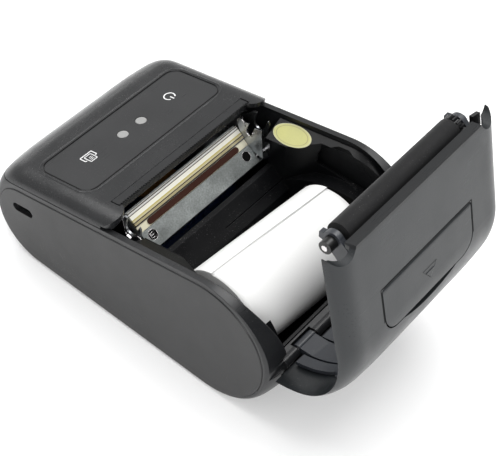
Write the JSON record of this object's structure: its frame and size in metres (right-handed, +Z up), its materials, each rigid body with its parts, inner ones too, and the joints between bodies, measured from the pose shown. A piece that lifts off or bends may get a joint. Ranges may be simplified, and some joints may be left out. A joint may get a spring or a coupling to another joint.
{
  "type": "portable receipt printer",
  "caption": "Hand-held thermal receipt printer with a hinged lid standing open, platen roller in the lid, print head and paper roll in the well.",
  "frame": {"origin": "middle of the flat base that the printer stands on", "axes": "+Z up, +Y towards the lid's hinge, +X towards the side with the charging slot"},
  "size_m": [0.085, 0.1545, 0.0984],
  "materials": {
    "case_plastic": "fine moulded texture, black",
    "hood_plastic": "fine moulded texture, black",
    "blade_plastic": "smooth, black",
    "plate_plastic": "satin, black",
    "overlay_film": "satin film, black",
    "lamp_lens": "frosted, pale grey",
    "key_rubber": "matt, grey",
    "circuit_board": "solder mask, green",
    "screw_steel": "zinc plated",
    "switch_metal": "plain",
    "chip_plastic": "matt, black",
    "port_steel": "tinned",
    "battery_wrap": "wrap film, blue",
    "tub_plastic": "satin, black",
    "sticker_paper": "satin, pale yellow",
    "thermal_paper": "smooth, white",
    "core_card": "matt",
    "frame_steel": "plated sheet",
    "sink_metal": "cast, satin",
    "head_ceramic": "glazed, cream",
    "potting_resin": "semi gloss, dark brown",
    "shaft_steel": "ground",
    "ribbon_film": "film, amber",
    "motor_steel": "plated can",
    "pinion_brass": "plain",
    "gear_plastic": "acetal, black",
    "lid_plastic": "fine moulded texture, black",
    "liner_plastic": "satin, black",
    "bush_plastic": "smooth, black",
    "platen_rubber": "ground rubber, black"
  },
  "bodies": {
    "case": {"lower_case": "case_plastic", "top_shell": "hood_plastic", "tear_bar": "blade_plastic", "side_plate_right": "plate_plastic", "side_plate_left": "plate_plastic", "panel_overlay": "overlay_film", "lamp_power": "lamp_lens", "lamp_status": "lamp_lens", "key_board": "circuit_board", "key_board_screws": "screw_steel", "tact_switches": "switch_metal", "main_board": "circuit_board", "board_parts": "chip_plastic", "board_screws": "screw_steel", "usb_port": "port_steel", "battery_pack": "battery_wrap", "battery_door": "case_plastic", "case_screws": "screw_steel", "paper_tub": "tub_plastic", "tub_screws": "screw_steel", "inspection_sticker": "sticker_paper", "mech_frame": "frame_steel", "head_pivot": "shaft_steel", "head_springs": "shaft_steel", "head_cable": "ribbon_film", "stepper_motor": "motor_steel", "idler_pin": "shaft_steel", "hinge_pins": "shaft_steel"},
    "power_button": {"power_key": "key_rubber"},
    "feed_button": {"feed_key": "key_rubber"},
    "print_head": {"heat_sink": "sink_metal", "thermal_head": "head_ceramic", "head_circuit": "head_ceramic", "driver_potting": "potting_resin"},
    "drive_pinion": {"motor_shaft": "shaft_steel", "motor_pinion": "pinion_brass"},
    "idler": {"idler_gear": "gear_plastic"},
    "roll": {"paper_roll": "thermal_paper", "paper_core": "core_card"},
    "lid": {"cover_shell": "lid_plastic", "cover_inner": "liner_plastic", "cover_screws": "screw_steel", "platen_bushes": "bush_plastic", "lever_pins": "shaft_steel"},
    "platen": {"platen_rubber": "platen_rubber", "platen_shaft": "shaft_steel", "platen_gear": "gear_plastic"},
    "lever": {"open_lever": "lid_plastic"}
  },
  "joints": [
    {"name": "lid_hinge", "type": "hinge", "parent": "case", "child": "lid", "pos_m": [0, 0.0607, 0.0262], "axis": [1, 0, 0], "range_deg": [0, 85.3]},
    {"name": "platen_spin", "type": "hinge", "parent": "lid", "child": "platen", "pos_m": [0, 0.06952, 0.09345], "axis": [1, 0, 0], "continuous": true},
    {"name": "lever_pull", "type": "hinge", "parent": "lid", "child": "lever", "pos_m": [0, 0.0838, 0.07445], "axis": [1, 0, 0], "range_deg": [0, 28], "stiffness_Nm_per_rad": 0.01},
    {"name": "power_press", "type": "slide", "parent": "case", "child": "power_button", "axis": [0, 0.2079, -0.9781], "range_m": [0, 0.0003], "stiffness_N_per_m": 1500},
    {"name": "feed_press", "type": "slide", "parent": "case", "child": "feed_button", "axis": [0, 0.2079, -0.9781], "range_m": [0, 0.0003], "stiffness_N_per_m": 1500},
    {"name": "head_rock", "type": "hinge", "parent": "case", "child": "print_head", "pos_m": [0, -0.00217, 0.02966], "axis": [1, 0, 0], "range_deg": [0, 1.2], "stiffness_Nm_per_rad": 0.8},
    {"name": "pinion_spin", "type": "hinge", "parent": "case", "child": "drive_pinion", "pos_m": [-0.0305, -0.02522, 0.03114], "axis": [1, 0, 0], "continuous": true},
    {"name": "idler_spin", "type": "hinge", "parent": "case", "child": "idler", "pos_m": [-0.0305, -0.01564, 0.03571], "axis": [1, 0, 0], "continuous": true},
    {"name": "roll_spin", "type": "hinge", "parent": "case", "child": "roll", "pos_m": [0, 0.0337, 0.022], "axis": [0.9968, -0.0802, 0], "continuous": true}
  ],
  "couplings": [
    {"joint": "pinion_spin", "follows": "idler_spin", "ratio": -2.5}
  ]
}
